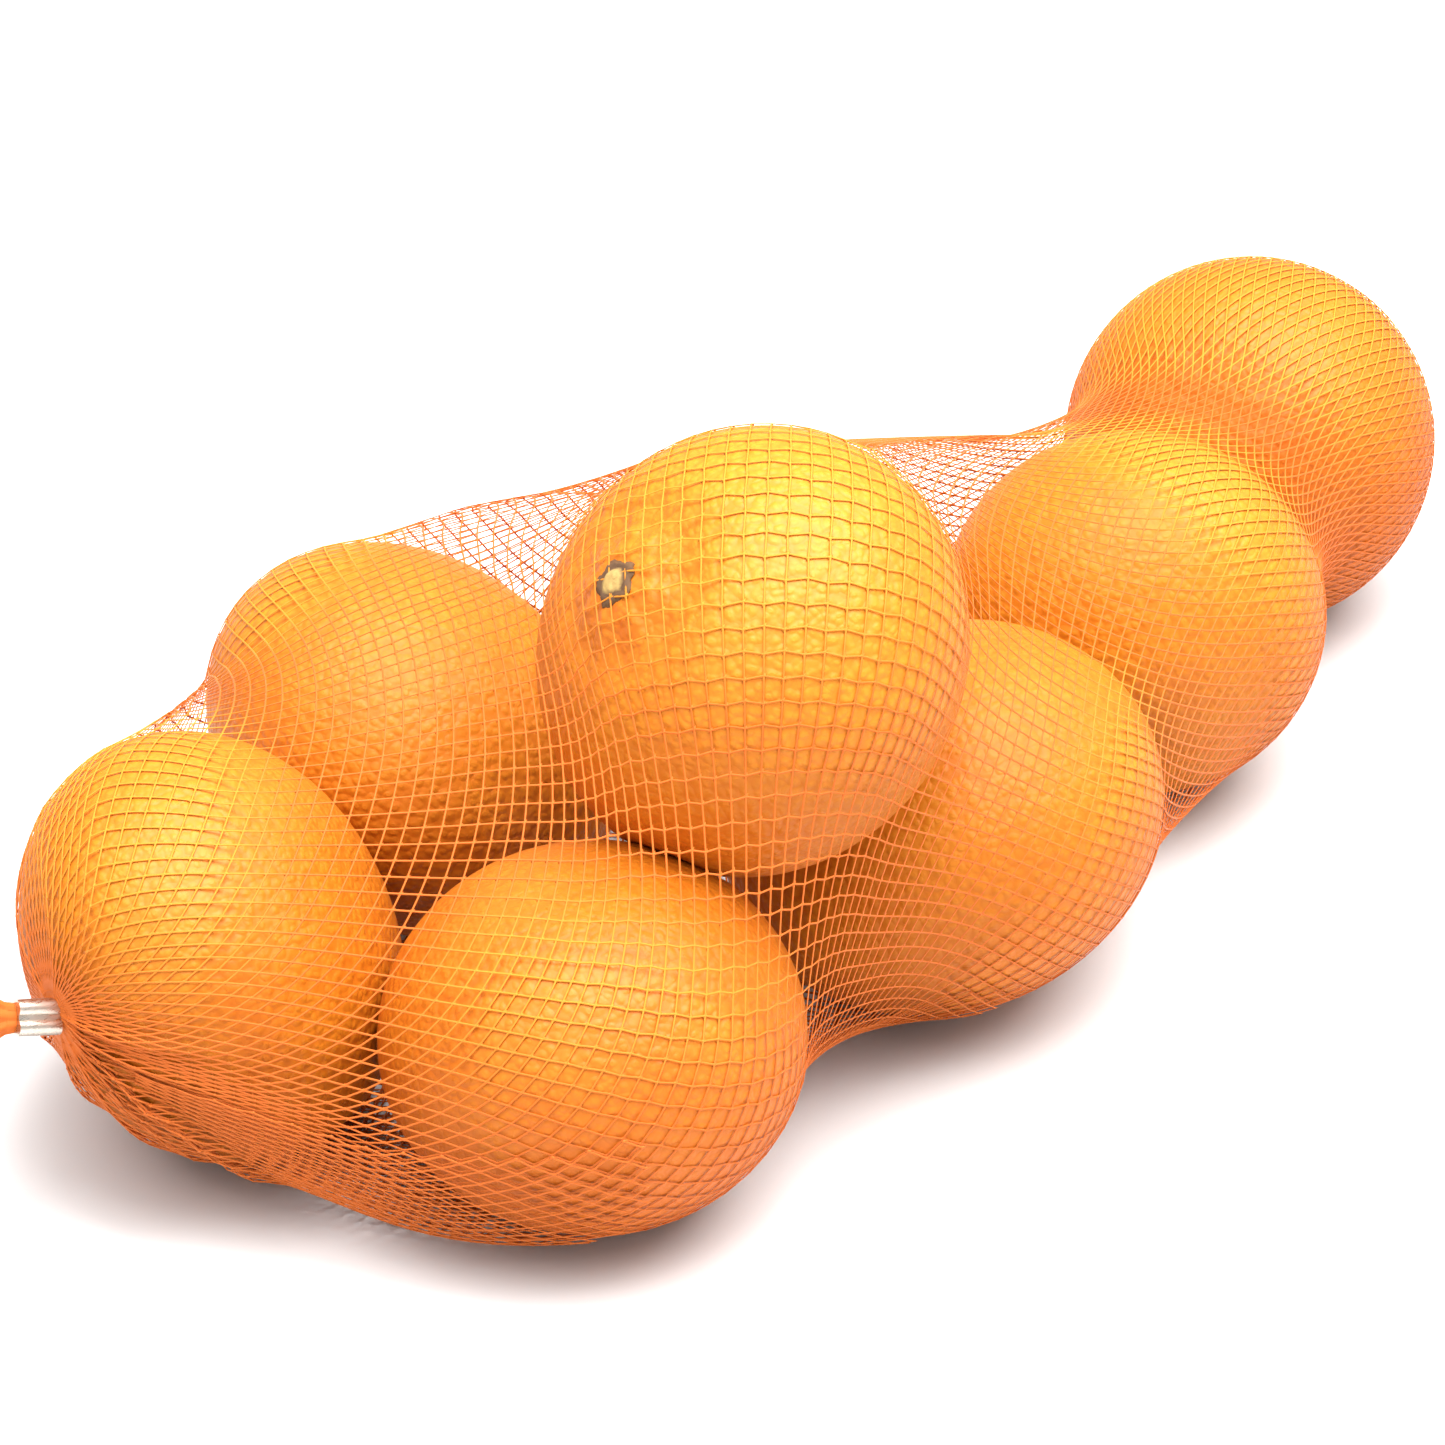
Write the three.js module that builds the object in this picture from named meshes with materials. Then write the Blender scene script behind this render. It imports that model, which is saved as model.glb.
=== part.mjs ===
// A net of mandarins: a tube of orange netting pulled tight over the fruit and gathered at each end
// into a crimped metal clip, with the cut net fanning out beyond the clip. The bag lies on its side
// with its length along X. The filled net is one closed solid, the taut skin that the net makes over
// the mandarins, and each clip is a solid of its own round the gathered neck.
// Millimetres, +Z up, origin on the floor under the middle of the bag.

import * as THREE from "three";

// The mandarins: x and y are the middle on the floor plan, across is the widest size, and squat is
// the height along the stem axis as a share of across. lean is the stem axis's angle from upright,
// and heading is the way it leans, both in degrees, the heading from +X towards +Y. The top one
// lies on others, so its height z is given; the rest stand on the floor.
const MANDARINS = [
  { name: "near_end", x: -129.8, y: 14.7, across: 78.7, squat: 0.79, lean: 122, heading: 135 },
  { name: "front", x: -95, y: -46.6, across: 75, squat: 0.88, lean: 3, heading: 117 },
  { name: "back", x: -58.8, y: 44.2, across: 82, squat: 0.79, lean: 39, heading: 327 },
  { name: "top", x: -47, y: -35.2, z: 85.7, across: 80.2, squat: 0.88, lean: 51, heading: 167 },
  { name: "middle", x: -2.6, y: -38.3, across: 82, squat: 0.81, lean: 21, heading: 132 },
  { name: "inner", x: 17, y: 37, across: 70, squat: 0.9, lean: 30, heading: 290 },
  { name: "row", x: 71.5, y: -13.2, across: 73, squat: 0.93, lean: 65, heading: 40 },
  { name: "far_end", x: 136, y: 18.3, across: 73, squat: 0.93, lean: 51, heading: 202 },
];
const FLAT_SPOT_SINK = 0.7; // how far a fruit's own weight flattens it where it rests
const NET_THICKNESS = 0.5; // the net lies this far outside the peel

// The two closures: at is the middle of the clip, outward the way the neck leaves the bag, and
// faces the angle about the neck, from level, that the clip's two lobes look towards.
const CLOSURES = {
  near: { at: [-170, 13.4, 40.6], outward: [-0.93, 0.24, 0.26], faces: 151 },
  far: { at: [172, 45.8, 26.5], outward: [0.75, 0.6, -0.28], faces: 60 },
};

// The crimped clip, a strip of metal curled into two lobes
const CLIP_LENGTH = 8;
const CLIP_WIDTH = 6.4;
const CLIP_HEIGHT = 5;
const CLIP_CORNER = 1.3; // radius of the rounded back
const CLIP_GROOVE_ANGLE = 40; // degrees of each lobe's curl left out at the groove
const CLIP_HOLE_DROP = 0.3; // the neck sits this far below the middle, away from the lobes
const CLIP_CLEARANCE = 0.3; // gap between the clip and the neck

// The gathered neck and the cut end of the net
const NECK_WIDTH = 4.4;
const NECK_HEIGHT = 2.6;
const NECK_STAND_OUT = 0.8; // the neck keeps its section this far past each end of the clip
const TAIL_LENGTH = 22;
const TAIL_WIDTH = 21;
const TAIL_HEIGHT = 5;
const TAIL_WAVES = 1.5; // folds across the fan
const TAIL_WAVE_HEIGHT = 2.2;
const TAIL_RINGS = 5;

// The skin: a loose egg-shaped tube round all the fruit, pulled tight in steps
const SKIN_RINGS = 64; // along the bag
const SKIN_SEGMENTS = 48; // around it
const LOOSE_CENTRE = [3, 4, 60];
const LOOSE_HALF_SIZE = [205, 130, 95];
const PULL_STEPS = 1500;
const HOOP_PULL = 0.43; // share of the net's pull that goes round the bag, the rest along it
const FAR_HOOP_PULL = 0.8; // the same in the far end, which is drawn in between its fruit
const FAR_END = [0.6, 0.67]; // shares of the bag's length between which the far end starts
const BOW = 0.1; // how far the stiff threads bow out past a straight pull, in each step
const BOW_GIRTHS = [240, 320]; // only the part wider than one fruit bows, in full from the second girth on
const LOW_BOW = 3.2; // how many times more the net bows near the floor,
const NEAR_LOW_BOW = 7.5; // and in the near end, where it hangs slack between two fruit
const NEAR_END = [0.18, 0.32]; // shares of the bag's length between which the near end stops
const LOW_HEIGHTS = [10, 45]; // between these heights the extra bow fades out

const NET_COLOUR = 0xf58a1f;
const CLIP_COLOUR = 0xcfc8bd;

const UP = new THREE.Vector3(0, 0, 1);
const { degToRad, lerp, smoothstep } = THREE.MathUtils;

// A mandarin as a spheroid: its middle, stem axis, half width and half height
function spheroid({ x, y, z, across, squat, lean, heading }) {
  const tilt = degToRad(lean);
  const turn = degToRad(heading);
  const flat = Math.sin(tilt);
  const axis = new THREE.Vector3(flat * Math.cos(turn), flat * Math.sin(turn), Math.cos(tilt));
  const radius = across / 2;
  const reachDown = radius * Math.hypot(flat, squat * Math.cos(tilt));
  const middle = new THREE.Vector3(x, y, z ?? reachDown - FLAT_SPOT_SINK);
  return { middle, axis, radius: radius + NET_THICKNESS, squat };
}

// Moves a point that is inside a mandarin straight out to its surface
const offset = new THREE.Vector3();
const stretched = new THREE.Vector3();
function pushOut(point, { middle, axis, radius, squat }) {
  offset.subVectors(point, middle);
  const along = offset.dot(axis);
  stretched.copy(offset).addScaledVector(axis, along * (1 / squat - 1));
  const distance = stretched.length();
  if (distance < radius) {
    point.copy(middle).addScaledVector(offset, radius / distance);
  }
}

// Directions across a tube that runs the given way: side is level, up completes the set
function acrossTube(forward) {
  const side = new THREE.Vector3().crossVectors(UP, forward).normalize();
  const up = new THREE.Vector3().crossVectors(forward, side);
  return { side, up };
}

// One closure with its directions: wide runs across the clip's two lobes, thin through the clip
function closure({ at, outward, faces }, runsOutward) {
  const out = new THREE.Vector3(...outward).normalize();
  const forward = out.clone().multiplyScalar(runsOutward ? 1 : -1);
  const { side, up } = acrossTube(forward);
  const turn = degToRad(faces);
  const lobes = side.clone().multiplyScalar(Math.cos(turn)).addScaledVector(up, Math.sin(turn));
  const wide = new THREE.Vector3().crossVectors(forward, lobes);
  const thin = lobes.clone().negate();
  const firstAngle = -turn - Math.PI / 2;
  return { middle: new THREE.Vector3(...at), out, wide, thin, lobes, firstAngle };
}

// A ring of the gathered net, at a distance outward from the middle of its clip
function neckRing(end, distance) {
  const tailStart = CLIP_LENGTH / 2 + NECK_STAND_OUT;
  const share = Math.max(0, (distance - tailStart) / TAIL_LENGTH);
  const opened = Math.sin((share * Math.PI) / 2);
  const halfWidth = lerp(NECK_WIDTH, TAIL_WIDTH, opened) / 2;
  const halfHeight = lerp(NECK_HEIGHT, TAIL_HEIGHT, opened) / 2;
  const ring = [];
  for (let k = 0; k < SKIN_SEGMENTS; k += 1) {
    const angle = (2 * Math.PI * k) / SKIN_SEGMENTS + end.firstAngle;
    const across = Math.cos(angle);
    const wave = TAIL_WAVE_HEIGHT * share * Math.sin(2 * Math.PI * TAIL_WAVES * across);
    const point = end.middle.clone().addScaledVector(end.out, distance);
    point.addScaledVector(end.wide, halfWidth * across);
    point.addScaledVector(end.thin, halfHeight * Math.sin(angle) + wave);
    ring.push(point);
  }
  return ring;
}

// All rings of one gathered end, from the bag out to the cut net
function neckRings(end) {
  const neckEnd = CLIP_LENGTH / 2 + NECK_STAND_OUT;
  const distances = [-neckEnd, neckEnd];
  for (let k = 1; k <= TAIL_RINGS; k += 1) {
    distances.push(neckEnd + (TAIL_LENGTH * k) / TAIL_RINGS);
  }
  return distances.map((distance) => neckRing(end, distance));
}

// The loose tube: rings of an egg shape that holds all the fruit
function looseRing(share) {
  const [halfLength, halfWidth, halfHeight] = LOOSE_HALF_SIZE;
  const bearing = Math.PI * share;
  const ring = [];
  for (let k = 0; k < SKIN_SEGMENTS; k += 1) {
    const angle = (2 * Math.PI * k) / SKIN_SEGMENTS;
    const point = new THREE.Vector3(
      -halfLength * Math.cos(bearing),
      halfWidth * Math.sin(bearing) * Math.cos(angle),
      halfHeight * Math.sin(bearing) * Math.sin(angle),
    );
    ring.push(point.add(new THREE.Vector3(...LOOSE_CENTRE)));
  }
  return ring;
}

// How far a ring bows out past a straight pull, by its girth
function ringBow(ring) {
  const girth = ring.reduce((sum, point, k) => sum + point.distanceTo(ring[(k + 1) % SKIN_SEGMENTS]), 0);
  return BOW * smoothstep(girth, ...BOW_GIRTHS);
}

// Pulls the loose tube tight: each point goes to a middle of its four neighbours and a little
// outwards, then out of the fruit and up to the floor. The first and last rings stay.
function pullTight(first, last, fruit) {
  const rings = [first];
  for (let i = 1; i < SKIN_RINGS; i += 1) {
    rings.push(looseRing(i / SKIN_RINGS));
  }
  rings.push(last);
  const roundBag = new THREE.Vector3();
  const alongBag = new THREE.Vector3();
  for (let step = 0; step < PULL_STEPS; step += 1) {
    for (let i = 1; i < SKIN_RINGS; i += 1) {
      const run = i / SKIN_RINGS;
      const hoopPull = lerp(HOOP_PULL, FAR_HOOP_PULL, smoothstep(run, ...FAR_END));
      const lowBow = lerp(NEAR_LOW_BOW, LOW_BOW, smoothstep(run, ...NEAR_END));
      const bow = ringBow(rings[i]);
      for (let k = 0; k < SKIN_SEGMENTS; k += 1) {
        const point = rings[i][k];
        const left = rings[i][(k + 1) % SKIN_SEGMENTS];
        const right = rings[i][(k + SKIN_SEGMENTS - 1) % SKIN_SEGMENTS];
        const before = rings[i - 1][k];
        const after = rings[i + 1][k];
        const outwards = roundBag.subVectors(left, right).cross(alongBag.subVectors(after, before));
        const low = 1 - smoothstep(point.z, ...LOW_HEIGHTS);
        point.copy(before).add(after).multiplyScalar((1 - hoopPull) / 2);
        point.addScaledVector(left, hoopPull / 2).addScaledVector(right, hoopPull / 2);
        point.addScaledVector(outwards.normalize(), bow * (1 + lowBow * low));
        fruit.forEach((mandarin) => pushOut(point, mandarin));
        point.z = Math.max(point.z, 0);
      }
    }
  }
  return rings;
}

// A closed tube through the rings, with a fan of triangles over each end
function closedTube(rings) {
  const positions = [];
  rings.flat().forEach((point) => positions.push(point.x, point.y, point.z));
  const triangles = [];
  const at = (i, k) => i * SKIN_SEGMENTS + (k % SKIN_SEGMENTS);
  for (let i = 0; i + 1 < rings.length; i += 1) {
    for (let k = 0; k < SKIN_SEGMENTS; k += 1) {
      triangles.push(at(i, k), at(i, k + 1), at(i + 1, k));
      triangles.push(at(i, k + 1), at(i + 1, k + 1), at(i + 1, k));
    }
  }
  [0, rings.length - 1].forEach((i) => {
    const middle = new THREE.Vector3();
    rings[i].forEach((point) => middle.addScaledVector(point, 1 / SKIN_SEGMENTS));
    const hub = positions.length / 3;
    positions.push(middle.x, middle.y, middle.z);
    for (let k = 0; k < SKIN_SEGMENTS; k += 1) {
      const edge = [at(i, k), at(i, k + 1)];
      triangles.push(hub, ...(i === 0 ? edge.reverse() : edge));
    }
  });
  const geometry = new THREE.BufferGeometry();
  geometry.setAttribute("position", new THREE.Float32BufferAttribute(positions, 3));
  geometry.setIndex(triangles);
  geometry.computeVertexNormals();
  return geometry;
}

// The clip's section: a rounded back and two lobes side by side with a groove between them
function clipSection() {
  const halfWidth = CLIP_WIDTH / 2;
  const halfHeight = CLIP_HEIGHT / 2;
  const lobe = CLIP_WIDTH / 4;
  const curlEnd = Math.PI - degToRad(CLIP_GROOVE_ANGLE);
  const section = new THREE.Shape();
  section.moveTo(-halfWidth + CLIP_CORNER, -halfHeight);
  section.absarc(halfWidth - CLIP_CORNER, -halfHeight + CLIP_CORNER, CLIP_CORNER, -Math.PI / 2, 0);
  section.absarc(lobe, halfHeight - lobe, lobe, 0, curlEnd);
  section.absarc(-lobe, halfHeight - lobe, lobe, Math.PI - curlEnd, Math.PI);
  section.absarc(-halfWidth + CLIP_CORNER, -halfHeight + CLIP_CORNER, CLIP_CORNER, Math.PI, Math.PI * 1.5);
  const hole = new THREE.Path();
  const holeWidth = NECK_WIDTH / 2 + CLIP_CLEARANCE;
  const holeHeight = NECK_HEIGHT / 2 + CLIP_CLEARANCE;
  hole.absellipse(0, -CLIP_HOLE_DROP, holeWidth, holeHeight, 0, 2 * Math.PI, true);
  section.holes.push(hole);
  return section;
}

// A clip in place on its neck
function clipMesh(name, end) {
  const geometry = new THREE.ExtrudeGeometry(clipSection(), {
    depth: CLIP_LENGTH,
    bevelEnabled: false,
    curveSegments: 10,
  });
  geometry.translate(0, CLIP_HOLE_DROP, -CLIP_LENGTH / 2);
  const wide = new THREE.Vector3().crossVectors(end.lobes, end.out);
  const placed = new THREE.Matrix4().makeBasis(wide, end.lobes, end.out).setPosition(end.middle);
  const material = new THREE.MeshStandardMaterial({ color: CLIP_COLOUR, roughness: 0.3, metalness: 1 });
  const mesh = new THREE.Mesh(geometry.applyMatrix4(placed), material);
  mesh.name = name;
  return mesh;
}

// The filled net, from the cut end at the near clip to the cut end at the far one
function filledNetMesh(near, far) {
  const nearRings = neckRings(near);
  const farRings = neckRings(far);
  const fruit = MANDARINS.map(spheroid);
  const skin = pullTight(nearRings[0], farRings[0], fruit);
  const rings = [...nearRings.slice(1).reverse(), ...skin, ...farRings.slice(1)];
  const material = new THREE.MeshStandardMaterial({ color: NET_COLOUR, roughness: 0.55, metalness: 0 });
  const mesh = new THREE.Mesh(closedTube(rings), material);
  mesh.name = "filled_net";
  return mesh;
}

const near = closure(CLOSURES.near, false);
const far = closure(CLOSURES.far, true);

const netOfMandarins = new THREE.Group();
netOfMandarins.add(filledNetMesh(near, far));
netOfMandarins.add(clipMesh("clip_near", near));
netOfMandarins.add(clipMesh("clip_far", far));

export default netOfMandarins;
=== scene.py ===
import math

import bpy
import numpy as np
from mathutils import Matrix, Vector


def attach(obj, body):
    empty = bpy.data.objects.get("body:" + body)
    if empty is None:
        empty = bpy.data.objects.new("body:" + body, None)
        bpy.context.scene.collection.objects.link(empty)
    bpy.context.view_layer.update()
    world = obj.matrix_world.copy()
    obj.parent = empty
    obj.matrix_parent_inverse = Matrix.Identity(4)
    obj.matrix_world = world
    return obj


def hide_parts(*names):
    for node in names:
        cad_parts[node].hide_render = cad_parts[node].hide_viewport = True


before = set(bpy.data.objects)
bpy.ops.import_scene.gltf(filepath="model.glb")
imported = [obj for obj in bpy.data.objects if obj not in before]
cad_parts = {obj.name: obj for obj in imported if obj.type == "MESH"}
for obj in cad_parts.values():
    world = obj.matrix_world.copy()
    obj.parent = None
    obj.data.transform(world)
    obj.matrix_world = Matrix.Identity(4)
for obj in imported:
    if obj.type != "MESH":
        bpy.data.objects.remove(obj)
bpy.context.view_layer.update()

MM = 0.001  # the layout below is in millimetres, Blender's meshes are in metres
SEED = 7

# The mandarins, as in the part's source: x and y on the floor plan, across the widest size, squat the
# height along the stem axis as a share of it, lean the axis's angle from upright, heading the way it leans
MANDARINS = {
    "near_end": dict(x=-129.8, y=14.7, across=78.7, squat=0.79, lean=122, heading=135),
    "front": dict(x=-95, y=-46.6, across=75, squat=0.88, lean=3, heading=117),
    "back": dict(x=-58.8, y=44.2, across=82, squat=0.79, lean=39, heading=327),
    "top": dict(x=-47, y=-35.2, z=85.7, across=80.2, squat=0.88, lean=51, heading=167),
    "middle": dict(x=-2.6, y=-38.3, across=82, squat=0.81, lean=21, heading=132),
    "inner": dict(x=17, y=37, across=70, squat=0.9, lean=30, heading=290),
    "row": dict(x=71.5, y=-13.2, across=73, squat=0.93, lean=65, heading=40),
    "far_end": dict(x=136, y=18.3, across=73, squat=0.93, lean=51, heading=202),
}
STEM_DOWN = ("front", "back", "middle", "far_end")  # the stem is at the other end of the axis
# The mandarins that still have their stem button; the others have lost it or stand on it
WITH_BUTTON = ("near_end", "top", "middle", "row", "far_end")
FLAT_SPOT_SINK = 0.7
PEEL_OFF_FLOOR = 0.5  # the net lies between the fruit and the floor

# The two gathered ends, as in the part's source
CLOSURES = {
    "near": dict(at=(-170, 13.4, 40.6), outward=(-0.93, 0.24, 0.26), faces=151, runs=-1),
    "far": dict(at=(172, 45.8, 26.5), outward=(0.75, 0.6, -0.28), faces=60, runs=1),
}
NECK_REACH = 4.8  # half a clip and a little more
NECK_SIZE = (4.4, 2.6)
TAIL_LENGTH = 22
TAIL_SIZE = (21, 5)
TAIL_WAVES = 1.5
TAIL_WAVE_HEIGHT = 2.2

# The skin that the net follows, pulled tight in steps
SKIN_RINGS = 64
SKIN_SEGMENTS = 48
LOOSE_CENTRE = (3, 4, 60)
LOOSE_HALF_SIZE = (205, 130, 95)
SKIN_STEPS = 2200
SKIN_HOOP_PULL = (0.43, 0.80)  # in most of the bag, in its far end
NEAR_END = (-120, -55)  # x where the near end stops
FAR_END = (85, 110)  # x where the far end starts
BOW = 0.10  # how far the skin bows out past a straight pull, at each step
WIDE_GIRTHS = (240, 320)
LOW_BOW = (7.5, 3.2)  # how much more the net bows near the floor, in the near end and in the rest
LOW_HEIGHTS = (10, 45)

# The net: a tube of welded diamonds
CELLS_ROUND = 92
FOOT_CROWDING = 1.0  # how much closer the columns of cells lie where the slack hangs, at the bag's foot
FOOT_HEIGHT = 18
FOOT_SPREAD = 18
FOOT_RUN = (-80, -30)  # x where the slack ends
CELL_SIDE = 3.5
THREAD_SIDES = 6
THREAD_WIDTH = 0.37
THREAD_THICKNESS = 0.2
THREAD_GAP = 0.16  # middle of a thread over the peel
NET_FULLNESS = 75  # percentile of the columns' lengths that sets how many rings of cells there are
EVENING_ROUNDS = 4
NET_STEPS = 400
NET_HOOP_PULL = (0.23, 0.75)
NET_BOW = 0.0095  # as for the skin
NET_TAUTNESS = 0.4
NET_SMOOTHING = 0.12
LONG_THREAD_PULL = 0.5
SHORT_THREAD_PUSH = 0.02
JOINT_SEGMENTS = 4
JOINT_RINGS = 2
JOINT_LENGTH = 1.4
JOINT_WIDTH = 0.75
JOINT_THICKNESS = 0.26

# Folds where the net gathers into a clip: share of the turn round the bag at the clip, its drift over each
# millimetre away from it, height, distance of the highest point from the clip, and width as a share of
# the turn
NEAR_FOLDS = (
    (0.405, 0.0045, 2.6, 20, 0.016), (0.365, 0.0015, 1.5, 10, 0.014), (0.330, 0.0, 1.3, 12, 0.014),
    (0.580, 0.0030, 1.7, 14, 0.020), (0.480, 0.0045, 1.3, 16, 0.014), (0.240, -0.0030, 0.7, 18, 0.016),
    (0.170, -0.0030, 0.7, 18, 0.016), (0.700, 0.0020, 1.4, 14, 0.020), (0.850, 0.0, 1.2, 14, 0.020),
    (0.020, 0.0, 1.0, 12, 0.018),
)
FAR_FOLDS = (
    (0.03, 0.002, 1.5, 10, 0.018), (0.12, -0.002, 1.3, 12, 0.016), (0.24, 0.003, 1.6, 10, 0.018),
    (0.33, 0.0, 1.4, 9, 0.014), (0.47, -0.003, 1.5, 11, 0.020), (0.60, 0.002, 1.4, 10, 0.016),
    (0.71, 0.0, 1.6, 12, 0.018), (0.86, -0.002, 1.4, 10, 0.018),
)
FOLD_BUNCHING = 0.35
RAGGED_CUT = 1.2

# The taut upper edges of the net: from the top fruit to the far end, from the near end to the back fruit,
# and from there to the top
BACK_TO_TOP = ((-51, 64, 67), (-42, 48, 77), (-39, 30, 86.5), (-40, 13, 94), (-46, -5, 108))
TAUT_EDGES = (
    ((-21, -36, 117), (38, 12, 75.5), (58, 14, 68), (81, 20, 56.5)),
    ((-124, 40, 67), (-111, 48, 62.5), (-91, 66, 50.5)),
    BACK_TO_TOP,
)
TAUT_EDGE_POINTS = 40
TAUT_EDGE_PULL = 0.5
TAUT_EDGE_STEPS = 10  # the joints that an edge holds are found again after this many steps

# Lines of pull across the net's open stretches and from the near clip, where threads draw together: points
# on the line, width of the strip that is drawn in, and how far it is drawn as a share of the way
PULL_LINES = (
    (BACK_TO_TOP, 9, 0.45),
    (((-80, 20, 82), (-54, -16, 117)), 7, 0.5),
    (((-19, -37, 117), (38, 12, 75.5), (58, 14, 68), (81, 20, 56.5)), 9, 0.4),
    (((-166, 3, 43), (-153, -17, 35), (-141, -33, 30), (-132, -50, 20)), 8, 0.45),
)
PULL_LINE_POINTS = 60

# Pleats, where the slack net lies double, at the near end's foot and under the bag: the stretch along the
# bag, the shares of the turn round it, and how far the second layer lies outside the first one, or inside
# it where the value is negative
PLEATS = {
    "net_foot_pleat": ((-164, -112), (0.41, 0.60), 0.6),
    "net_floor_pleat": ((-130, -15), (0.56, 0.74), -0.6),
    "net_inner_pleat": ((-145, -85), (0.56, 0.74), -1.2),
}
PLEAT_SLANT = 0.09  # shift of the second layer across the first one, over each millimetre along the bag

# The peel
PEEL_DETAIL = 6
SEED_STEP = 3.7  # from one mandarin's noise to the next one's
LUMP_DEPTH = 0.3
SHOULDER_DEPTH = 1.7
FURROW_DEPTH = 0.8
FURROWS = 9
STEM_WELL_DEPTH = 0.5
CROWN_DEPTH = 2.0
CROWN_FURROWS = 0.3  # depth of the furrows round the crown, as a share of those round the stem
FURROW_WOBBLE = 9.0

# Where those lie round a mandarin's ends: distance from the stem axis and width, as shares of its radius
FURROW_RING = (0.27, 0.15)
SHOULDER_RING = (0.34, 0.12)
STEM_WELL = (0.0, 0.11)
CROWN_WELL = (0.0, 0.28)
STEM_END = (0.0, 0.4)

# The dry button at the stem end
BUTTON_SIZE = 9.8
BUTTON_RISE = 1.3
BUTTON_LOBES = 5
BUTTON_SINK = 0.9
BUTTON_SEGMENTS = 60
BUTTON_RINGS = 24
BUTTON_HEIGHT = 0.55  # before it is worn, as a share of its rise
BUTTON_GROOVE = (0.55, 0.1)  # distance from the middle and width, as shares of the button's half size
BUTTON_GROOVE_DEPTH = 0.35
LOBE_REACH = 0.62
LOBE_WAVE = 0.1
LOBE_WOBBLE = 5.0
LOBE_WEAR = 0.5  # how far noise moves the lobes' edge
HEIGHT_WEAR = 0.9  # how much noise raises the button

# Noise patterns: scale and detail
FURROW_NOISE = (2.0, 1.0)
LUMP_NOISE = (1.4, 1.5)
BUTTON_NOISE = (3.0, 3.0)
PATCH_NOISE = (45.0, 3.0)
WARP_NOISE = (350.0, 1.0)
GRAIN_NOISE = (1500.0, 2.0)
DRY_NOISE = (700.0, 4.0)
DRAW_MARK_NOISE = (1.0, 3.0)
NOISE_SPREAD = (0.3, 0.7)  # what most of a noise's values lie between

# Colours
ORANGE_PEEL = (0.57, 0.125, 0.005, 1)
YELLOW_PEEL = (0.64, 0.235, 0.011, 1)
# Painted shade: the darker colour painted into the hollows between the peel's pebbles
HOLLOW_SHADE_COLOUR = (0.52, 0.11, 0.004, 1)
# How far each mandarin is from orange to yellow
TINTS = {
    "near_end": 0.42, "front": 0.18, "back": 0.42, "top": 0.6,
    "middle": 0.5, "inner": 0.3, "row": 0.7, "far_end": 0.12,
}
PAINTED_TOP_LIGHT = 0.35  # painted light and shade: how much yellower a mandarin is painted on top and more orange below, as light from above would make it
STEM_END_TINT = -0.4  # how much more orange it is round its stem
# Painted light and shade on the net: NET_COLOUR is its shaded copy and LIT_NET_COLOUR its lit copy, mixed
# by how far up the peel under it faces
NET_COLOUR = (0.58, 0.13, 0.018, 1)
LIT_NET_COLOUR = (0.61, 0.235, 0.02, 1)  # painted light: the net's lit copy, on top of the fruit
LIT_NET_RISE = (0.15, 0.85)  # how far up the peel faces where the tone starts to change, and where it ends
LIT_NET_GAPS = (0.5, 8)  # the same for the gap under the net, from the peel: over wider gaps the net keeps its shaded colour, as painted shade
BUTTON_MIDDLE = (0.42, 0.27, 0.08, 1)
BUTTON_RING = (0.10, 0.045, 0.016, 1)
BUTTON_EDGE = (0.12, 0.055, 0.015, 1)
# Both aluminium colours carry a warm tint that is a painted reflection of the orange fruit and net round
# the clips
BRIGHT_ALUMINIUM = (0.68, 0.63, 0.55, 1)
DULL_ALUMINIUM = (0.54, 0.49, 0.42, 1)
FLOOR_COLOUR = (0.7, 0.7, 0.7, 1)
SKY_COLOUR = (1, 1, 1, 1)

# Finishes
PEEL_ROUGHNESS = 0.5
PEEL_GLOSS = 0.3
PATCH_ROUGHNESS = 0.6
PATCH_TINT = (-0.2, 0.2)
PEBBLE_SIZE = 1.5
PEBBLE_WARP = 1.2
PEBBLE_SMOOTHNESS = 0.5
PEBBLE_DEPTH = 0.28
PEBBLE_STRENGTH = 0.75
HOLLOWS_FROM = (0.25, 0.75)  # distance from a pebble's middle where the hollow round it starts and ends
# How far the painted shade darkens the hollows between the pebbles
HOLLOW_SHADE = 0.4
GRAIN_SHARE = 0.15  # of the fine grain in the pebbles' relief
NET_ROUGHNESS = 0.6
NET_GLOSS = 0.2
BUTTON_ROUGHNESS = 0.8
BUTTON_RING_FROM = (0.35, 0.55)  # distance from the middle where the dark ring fades in
BUTTON_EDGE_FROM = (0.72, 1.0)  # the same for the lobes
BUTTON_BLUR = 0.5  # how far noise moves those edges
BUTTON_GRAIN_DEPTH = 0.4
BUTTON_GRAIN_STRENGTH = 0.7
CLIP_ROUGHNESS = (0.22, 0.4)
DRAW_MARK_SCALES = (250, 4000, 4000)  # marks to a metre along each axis
DRAW_MARK_DEPTH = 0.06
DRAW_MARK_STRENGTH = 0.4
FLOOR_ROUGHNESS = 0.7

# The floor and the light: place, size and power of each softbox, in metres and watts
SOFTBOXES = {
    "front_softbox": ((0.15, -0.42, 1.25), 1.2, 18),
    "near_softbox": ((-0.5, 0, 1.2), 1.2, 14.5),
    "far_softbox": ((0.45, -0.25, 1.2), 1.2, 19.5),
    "overhead_softbox": ((0, 0, 1.3), 0.5, 8.8),
}
SOFTBOX_TARGET = (0, 0, 0.04)
SKY_LIGHT = 0.72
SEEN_SKY = 1.0  # the same where the camera sees it
DIFFUSE_BOUNCES = 2
FLOOR_REACH = 6

# The camera, found from the photograph's perspective
CAMERA_TARGET = (-12, 10.8, 35)
CAMERA_AZIMUTH = -42.4
CAMERA_ELEVATION = 32
CAMERA_DISTANCE = 1300
CAMERA_LENS = 174.9


# Small helpers for node trees and meshes

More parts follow.
